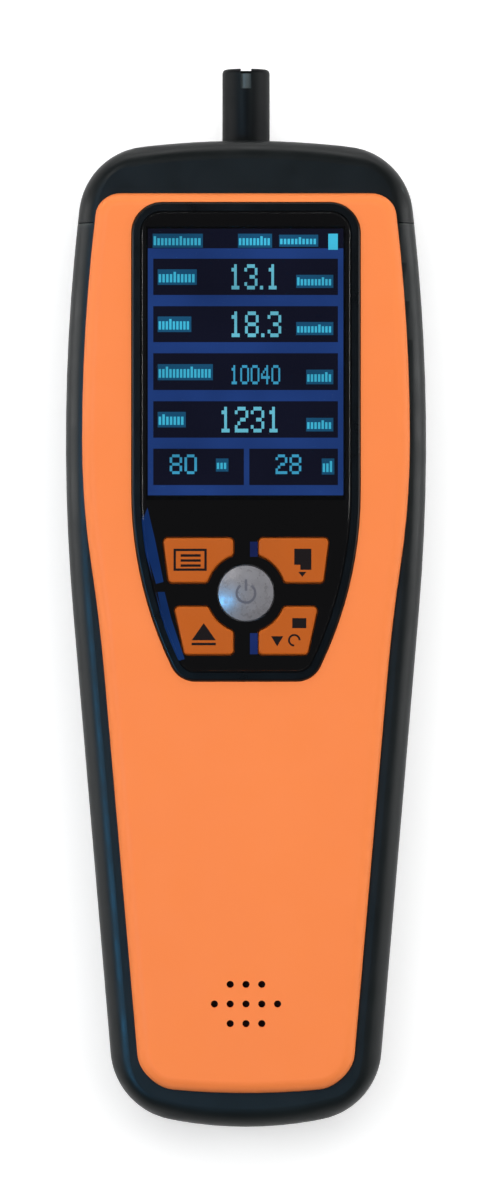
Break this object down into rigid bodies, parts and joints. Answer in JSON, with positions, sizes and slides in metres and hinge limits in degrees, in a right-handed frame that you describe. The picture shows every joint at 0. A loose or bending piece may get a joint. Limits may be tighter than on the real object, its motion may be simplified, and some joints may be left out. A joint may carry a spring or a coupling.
{
  "type": "airborne particle counter",
  "caption": "Handheld airborne particle counter: tapering two-part case, orange front cover, colour display over four keys and a centre button, air inlet at the head.",
  "frame": {"origin": "on the back's flat plane, half-way across and half-way along the whole length, inlet included", "axes": "+X across the case, +Y from the handle's end to the air inlet, +Z from the back to the display"},
  "size_m": [0.0756, 0.2224, 0.0363],
  "materials": {
    "case_black": "fine texture, satin",
    "cap_black": "satin",
    "cover_orange": "satin",
    "inlet_black": "satin",
    "seal_rubber": "matte",
    "bezel_black": "gloss",
    "mask_black": "gloss",
    "lens_clear": "clear, gloss",
    "screen": "gloss, lit",
    "backlight_white": "matte",
    "lead_amber": "satin",
    "key_orange": "satin",
    "button_silver": "metallic, satin",
    "switch_black": "matte",
    "board_green": "satin",
    "chip_black": "matte",
    "sensor_white": "matte",
    "liner_steel": "satin",
    "screw_steel": "blackened",
    "brass": "satin",
    "battery_wrap": "satin",
    "speaker_black": "matte",
    "socket_steel": "plated",
    "sensor_grey": "matte",
    "fan_black": "satin"
  },
  "bodies": {
    "case": {"rear_shell": "case_black", "front_frame": "case_black", "top_cap": "cap_black", "front_cover": "cover_orange", "inlet_nozzle": "inlet_black", "inlet_nut": "inlet_black", "inlet_seal": "seal_rubber", "inlet_hose": "seal_rubber", "lcd_gasket": "seal_rubber", "display_bezel": "bezel_black", "lens_mask": "mask_black", "display_lens": "lens_clear", "lcd_glass": "screen", "lcd_backlight": "backlight_white", "lcd_lead": "lead_amber", "tact_switches": "switch_black", "main_board": "board_green", "sensor_board": "board_green", "charge_board": "board_green", "board_chips": "chip_black", "humidity_sensor": "sensor_white", "battery_plug": "sensor_white", "inlet_liner": "liner_steel", "board_screws": "screw_steel", "case_screws": "screw_steel", "tripod_insert": "brass", "laser_diode": "brass", "battery_pack": "battery_wrap", "speaker": "speaker_black", "speaker_mesh": "speaker_black", "charge_socket": "socket_steel", "co2_sensor": "socket_steel", "sensor_housing": "sensor_grey", "sensor_lid": "sensor_grey", "photodiode": "sensor_grey", "fan_frame": "fan_black"},
    "fan": {"fan_rotor": "fan_black"},
    "button_centre": {"centre_button": "button_silver", "plunger_centre": "switch_black"},
    "key_upper_left": {"key_upper_left": "key_orange", "plunger_upper_left": "switch_black"},
    "key_upper_right": {"key_upper_right": "key_orange", "plunger_upper_right": "switch_black"},
    "key_lower_left": {"key_lower_left": "key_orange", "plunger_lower_left": "switch_black"},
    "key_lower_right": {"key_lower_right": "key_orange", "plunger_lower_right": "switch_black"}
  },
  "joints": [
    {"name": "key_upper_left_press", "type": "slide", "parent": "case", "child": "key_upper_left", "axis": [0, 0, -1], "range_m": [0, 0.0006], "stiffness_N_per_m": 800},
    {"name": "key_upper_right_press", "type": "slide", "parent": "case", "child": "key_upper_right", "axis": [0, 0, -1], "range_m": [0, 0.0006], "stiffness_N_per_m": 800},
    {"name": "key_lower_left_press", "type": "slide", "parent": "case", "child": "key_lower_left", "axis": [0, 0, -1], "range_m": [0, 0.0006], "stiffness_N_per_m": 800},
    {"name": "key_lower_right_press", "type": "slide", "parent": "case", "child": "key_lower_right", "axis": [0, 0, -1], "range_m": [0, 0.0006], "stiffness_N_per_m": 800},
    {"name": "button_centre_press", "type": "slide", "parent": "case", "child": "button_centre", "axis": [0, 0, -1], "range_m": [0, 0.0006], "stiffness_N_per_m": 800},
    {"name": "fan_spin", "type": "hinge", "parent": "case", "child": "fan", "pos_m": [0.006, 0.04215, 0.01], "axis": [0, 0, 1], "continuous": true}
  ]
}
